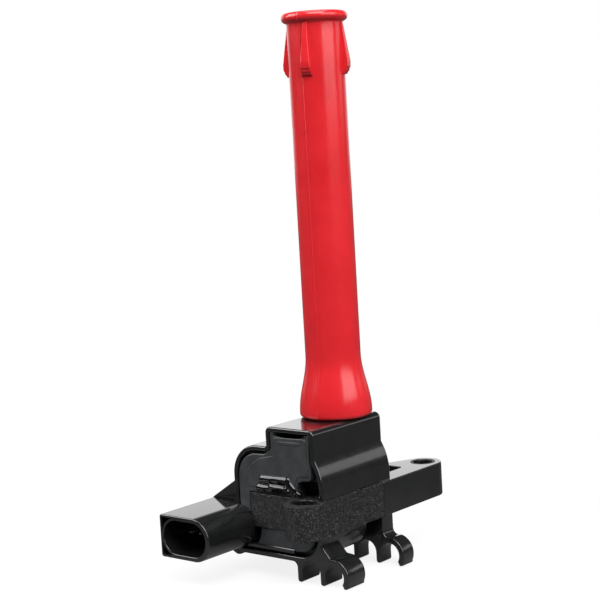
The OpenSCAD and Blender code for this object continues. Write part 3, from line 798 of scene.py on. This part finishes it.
def make_pin(node):
    """Blade with a tapered, rounded tip."""
    low, high = span_of(node)
    mid_y, mid_z = (low.y + high.y) / 2, (low.z + high.z) / 2
    half_w, half_t = (high.y - low.y) / 2, (high.z - low.z) / 2
    tip_x, taper_x, tip_w = low.x + 0.3, low.x + 1.8, 0.35 * half_w
    plan = outline([(tip_x, mid_y - tip_w, 0.2), (taper_x, mid_y - half_w, 0.6), (high.x, mid_y - half_w, 0),
                    (high.x, mid_y + half_w, 0), (taper_x, mid_y + half_w, 0.6), (tip_x, mid_y + tip_w, 0.2)])
    blade = prism(node + "_blade", plan, "Z", mid_z - half_t, mid_z + half_t, 0.15, 0.15, 3)
    return fit(blade, "coil", "tinned_brass", TINNED, node)


def make_terminal():
    """Turned high-tension terminal on the tower."""
    head, seat, top = 3.4, TOWER_TOP, terminal_high.z
    waist = head - 0.5
    profile = [(STUD_R, terminal_low.z), (STUD_R, seat), (head - 0.3, seat), (head, seat + 0.3),
               (head, seat + 1.3), (waist, seat + 1.6), (waist, seat + 2.1), (head, seat + 2.4),
               (head, top - 0.7), (head - 0.25, top - 0.25), (head - 0.7, top), (0.9, top), (0.5, top - 0.5)]
    return fit(capped("high_tension_stud", profile), "coil", "terminal_brass", BRASS, "ht_terminal")


# ---- The boot ----
SEAMS = (188, 8)                             # where the mould's halves met, in degrees
SEAM_LIFT, SEAM_SPREAD = 0.26, 0.9           # height in mm and half width in degrees
RIBS = (19, 109, 199, 289)
RIB_REACH, RIB_HALF = 11.2, 1.7
GRIP_R, GRIP_DEPTH = 5.1, 33                 # bore for the plug's insulator, from the mouth
NUT_R, NUT_DEPTH = 4.6, 39                   # chamber for the plug's terminal nut
NECK_R, NECK_DEPTH = 3.68, 40.2              # neck between that and the contact's room
CUP_R, CUP_END = 4.3, 92                     # room for the spring and the contact
ROD_R, ROD_END = 3.02, 46.45                 # bore for the suppressor rod
HEAD_R, HEAD_END = 4.2, 43.3                 # room for the terminal's head
SOCKET_R = 7.56                              # socket that fits on the tower
BORE_STEP = 0.05                             # height of the cone between two bores


def boot_section():
    """Outer skin from the foot up, then the bores back down."""
    foot, top = boot_low.z, boot_high.z
    edge, rise, tube_steps = 1.3, 30, 40
    points = [(FLARE_R - edge + edge * math.sin(a), foot + edge * (1 - math.cos(a)))
              for a in [math.pi / 2 * k / 6 for k in range(7)]]
    flare_low = edge + 0.4
    for k in range(1, rise + 1):
        t = (flare_low + (FLARE_H - flare_low) * k / rise) / FLARE_H
        share = math.cos(math.pi / 2 * min((t - 0.07) / 0.9, 1)) ** 2
        points.append((BOOT_R + (FLARE_R - BOOT_R) * share, foot + t * FLARE_H))
    tube_low, tube_high = foot + FLARE_H, top - 3.9
    points += [(BOOT_R, tube_low + (tube_high - tube_low) * k / tube_steps) for k in range(1, tube_steps + 1)]
    # Bead: a hollow under it, a round rim, and a slightly crowned end face
    bead = 1.6
    points += [(BOOT_R + 0.15, top - 3.45), (BOOT_R + 0.55, top - 3.15)]
    points += [(BEAD_R - bead + bead * math.cos(a), top - bead - 0.1 + bead * math.sin(a))
               for a in [math.radians(d) for d in range(-70, 91, 16)]]
    points += [(8.2, top - 0.02), (7.0, top), (6.1, top - 0.15), (5.55, top - 0.7)]
    # Three sealing grooves inside the mouth
    groove_pitch, groove_r = 3.2, GRIP_R + 0.4
    for k in range(3):
        z = top - groove_pitch * (k + 1)
        points += [(GRIP_R, z + 0.8), (groove_r, z + 0.4), (groove_r, z - 0.4), (GRIP_R, z - 0.8)]
    bores = [(GRIP_R, top - GRIP_DEPTH), (NUT_R, top - NUT_DEPTH), (NECK_R, top - NECK_DEPTH),
             (CUP_R, CUP_END), (ROD_R, ROD_END), (HEAD_R, HEAD_END), (SOCKET_R, foot + 1.0)]
    points.append(bores[0])
    for (_, above), (radius, end) in zip(bores, bores[1:]):
        points += [(radius, above - BORE_STEP), (radius, end)]
    points.append((8.3, foot))
    return points


def boot_angles():
    """Even turns, with more of them across each seam."""
    even = 96
    angles = {round(360 * k / even, 3) for k in range(even)}
    for seam in SEAMS:
        angles |= {round((seam + d) % 360, 3) for d in (-3, -2.2, -1.6, -1.1, -0.6, 0, 0.6, 1.1, 1.6, 2.2, 3)}
    return sorted(angles)


def seam_reach(angle, r):
    """Raises the mould's seam on the outer skin."""
    if r < BOOT_R - 0.2:
        return r
    lift = 0.0
    for seam in SEAMS:
        away = (angle - seam + 180) % 360 - 180
        lift += SEAM_LIFT * math.exp(-(away / SEAM_SPREAD) ** 2)
    return r + lift


def make_boot():
    """Silicone boot with four ribs at its mouth."""
    boot = turned("silicone_boot", boot_section(), boot_angles(), seam_reach)
    top, reach = boot_high.z, RIB_REACH
    root, rib_top = 7.4, top - 2.9
    fin = outline([(root, rib_top, 0), (9.35, rib_top, 0), (reach, top - 16.4, 2.5),
                   (reach - 0.15, top - 18.2, 0.4), (reach - 0.45, top - 18.5, 0.2),
                   (reach - 0.6, top - 19.3, 0.4), (reach - 1.0, top - 19.7, 0.2),
                   (reach - 1.4, top - 20.4, 0.4), (root, top - 20.9, 0)])
    # Each rib widens from its narrow top to its foot
    narrow, widening = 0.3, 15.5
    for angle in RIBS:
        rib = prism("rib", fin, "Y", -RIB_HALF, RIB_HALF, 0.3, 0.3)
        for vertex in rib.data.vertices:
            share = (rib_top - vertex.co.z / MM) / widening
            wide = narrow + (1 - narrow) * min(max(share, 0), 1)
            vertex.co.y = AXIS.y + (vertex.co.y - AXIS.y) * wide
        spin = Matrix.Rotation(math.radians(angle), 4, "Z")
        rib.data.transform(Matrix.Translation(AXIS) @ spin @ Matrix.Translation(-AXIS))
        add(boot, rib)
    return fit(boot, "boot", "red_silicone", SILICONE, "boot", sharp=42)


# ---- Hidden pieces that keep their CAD shape ----
def dress_hidden_nodes():
    """Gives each hidden CAD node its own material."""
    looks = {
        "core_leg": core_material("inner_leg", 0.35),
        "core_magnet": metal_material("magnet", (0.10, 0.10, 0.11), 0.6),
        "primary_bobbin": case_plastic("bobbin_black", 0.03, 0.4),
        "secondary_bobbin": case_plastic("bobbin_pale", 0.55, 0.5),
        "primary_winding": winding_material("primary_wire", 0.7),
        "secondary_winding": winding_material("secondary_wire", 0.12),
        "supply_lead": winding_material("supply_wire", 0.4),
        "trigger_lead": winding_material("trigger_wire", 0.4),
        "earth_strap": TINNED,
        "ht_lead": TINNED,
        "suppressor_rod": ceramic_material(),
        "contact_spring": metal_material("spring_steel", (0.55, 0.55, 0.57), 0.28),
        "plug_contact": BRASS,
    }
    for node, material in looks.items():
        nodes[node].data.materials.clear()
        nodes[node].data.materials.append(material)


# ---- Stage, light and camera ----
HEADING = math.radians(40.2)                 # the camera looks this far round from +X towards +Y
DIP = math.radians(6.1)
ROLL = math.radians(-3.35)
LENS = 90
SENSOR = 36
DISTANCE = 500
LAMP_DISTANCE = 900
FOOT_RIGHT, FOOT_BELOW = 13.4, 60.5          # where the boot's axis meets Z = 0, from the middle of the view


def camera_axes():
    """The camera's right, its top and the way it looks."""
    ahead = Vector((math.cos(DIP) * math.cos(HEADING), math.cos(DIP) * math.sin(HEADING), -math.sin(DIP)))
    level = Vector((math.sin(HEADING), -math.cos(HEADING), 0))
    up = level.cross(ahead)
    right = level * math.cos(ROLL) + up * math.sin(ROLL)
    top = -level * math.sin(ROLL) + up * math.cos(ROLL)
    return right, top, ahead


def make_camera():
    """The camera at the photo's angle."""
    right, top, ahead = camera_axes()
    data = bpy.data.cameras.new("camera")
    data.lens = LENS
    data.sensor_width = SENSOR
    data.clip_start, data.clip_end = 0.01, 50
    camera = bpy.data.objects.new("camera", data)
    turn = Matrix((right, top, -ahead)).transposed().to_4x4()
    where = put(*(-(right * FOOT_RIGHT - top * FOOT_BELOW + ahead * DISTANCE)))
    camera.matrix_world = Matrix.Translation(where) @ turn
    bpy.context.scene.collection.objects.link(camera)
    bpy.context.scene.camera = camera


def softbox(name, azimuth, elevation, size, radiance, aim=80):
    """A soft lamp facing the object: degrees to the right of the camera and above the horizon.

    Its size is in metres, and aim is the height in mm that it faces.
    """
    right, _, ahead = camera_axes()
    level_back = Vector((-ahead.x, -ahead.y, 0)).normalized()
    level_right = Vector((right.x, right.y, 0)).normalized()
    round_to, lift = math.radians(azimuth), math.radians(elevation)
    towards = (level_back * math.cos(round_to) + level_right * math.sin(round_to)) * math.cos(lift)
    towards.z = math.sin(lift)
    lamp = bpy.data.lights.new(name, "AREA")
    lamp.shape = "RECTANGLE"
    lamp.size, lamp.size_y = size
    lamp.energy = radiance * math.pi * size[0] * size[1]
    box_light = bpy.data.objects.new(name, lamp)
    bpy.context.scene.collection.objects.link(box_light)
    box_light.location = put(0, 0, aim) + towards * LAMP_DISTANCE * MM
    box_light.rotation_mode = "QUATERNION"
    box_light.rotation_quaternion = towards.to_track_quat("Z", "Y")


def make_stage():
    """A pale floor just under the clips' tips."""
    data = bpy.data.meshes.new("floor")
    side, gap = 6.0, 0.0003
    level = CLIP_TIP * MM - gap
    corners = [(-side, -side, level), (side, -side, level), (side, side, level), (-side, side, level)]
    data.from_pydata(corners, [], [(0, 1, 2, 3)])
    floor = bpy.data.objects.new("floor", data)
    bpy.context.scene.collection.objects.link(floor)
    material, tree, bsdf = shader("pale_floor")
    where = place_in(tree)
    feed(bsdf, "Base Color", mix(tree, noise(tree, where, 0.01), grey(0.88), grey(0.92)))
    bsdf.inputs["Roughness"].default_value = 0.9
    # Away from the object the floor fades to an even white
    away = step(tree, "ShaderNodeVectorMath", [(0, where)], operation="LENGTH").outputs["Value"]
    seen = step(tree, "ShaderNodeLightPath").outputs["Is Camera Ray"]
    strength = spread(tree, seen, 0.12, 1, 0, 1)
    white = step(tree, "ShaderNodeEmission", [("Color", grey(1.0)), ("Strength", strength)])
    fade_from, fade_to = 50, 150
    fading = spread(tree, away, 0.84, 1, fade_from, fade_to)
    fade = step(tree, "ShaderNodeMixShader", [(0, fading), (1, bsdf.outputs[0]), (2, white.outputs[0])])
    tree.links.new(fade.outputs[0], tree.nodes["Material Output"].inputs["Surface"])
    data.materials.append(material)


def make_world():
    """White to look at; as a light it is bright only behind the object, near the horizon."""
    world = bpy.data.worlds.new("studio")
    bpy.context.scene.world = world
    world.use_nodes = True
    tree = world.node_tree
    lit = tree.nodes["Background"]
    ahead = camera_axes()[2]
    where = step(tree, "ShaderNodeTexCoord").outputs["Generated"]
    facing = step(tree, "ShaderNodeVectorMath", [(0, where), (1, (ahead.x, ahead.y, 0))],
                  operation="DOT_PRODUCT").outputs["Value"]
    height = step(tree, "ShaderNodeSeparateXYZ", [("Vector", where)]).outputs["Z"]
    glow = times(tree, spread(tree, facing, 0, 1.3, 0.55, 0.92), spread(tree, height, 1, 0, 0.2, 0.5))
    strength = step(tree, "ShaderNodeMath", [(0, glow), (1, 0.06)], operation="ADD")
    tree.links.new(strength.outputs[0], lit.inputs["Strength"])
    lit.inputs["Color"].default_value = (1, 1, 1, 1)
    seen = step(tree, "ShaderNodeBackground", [("Color", (1, 1, 1, 1)), ("Strength", 1.0)])
    straight = step(tree, "ShaderNodeLightPath").outputs["Is Camera Ray"]
    both = step(tree, "ShaderNodeMixShader", [(0, straight), (1, lit.outputs[0]), (2, seen.outputs[0])])
    tree.links.new(both.outputs[0], tree.nodes["World Output"].inputs["Surface"])


def make_lights():
    """Soft lamps round the object."""
    softbox("front", 8, 54, (0.7, 0.6), 8)
    softbox("key", 52, 24, (0.85, 0.6), 4)
    softbox("left", -92, 32, (0.7, 0.6), 6)
    softbox("side", 103, 15, (0.35, 0.18), 1.3, 0)
    softbox("above", 180, 78, (0.5, 0.5), 3)


make_camera()
make_stage()
make_world()
make_lights()
bpy.context.scene.view_settings.view_transform = "Standard"

make_case()
make_resin()
make_resin_blob()
make_core()
make_bush("front_bush", front_bush)
make_bush("rear_bush", rear_bush)
make_tray()
make_connector()
for pin in ("supply_pin", "trigger_pin", "earth_pin"):
    make_pin(pin)
make_terminal()
make_boot()
dress_hidden_nodes()
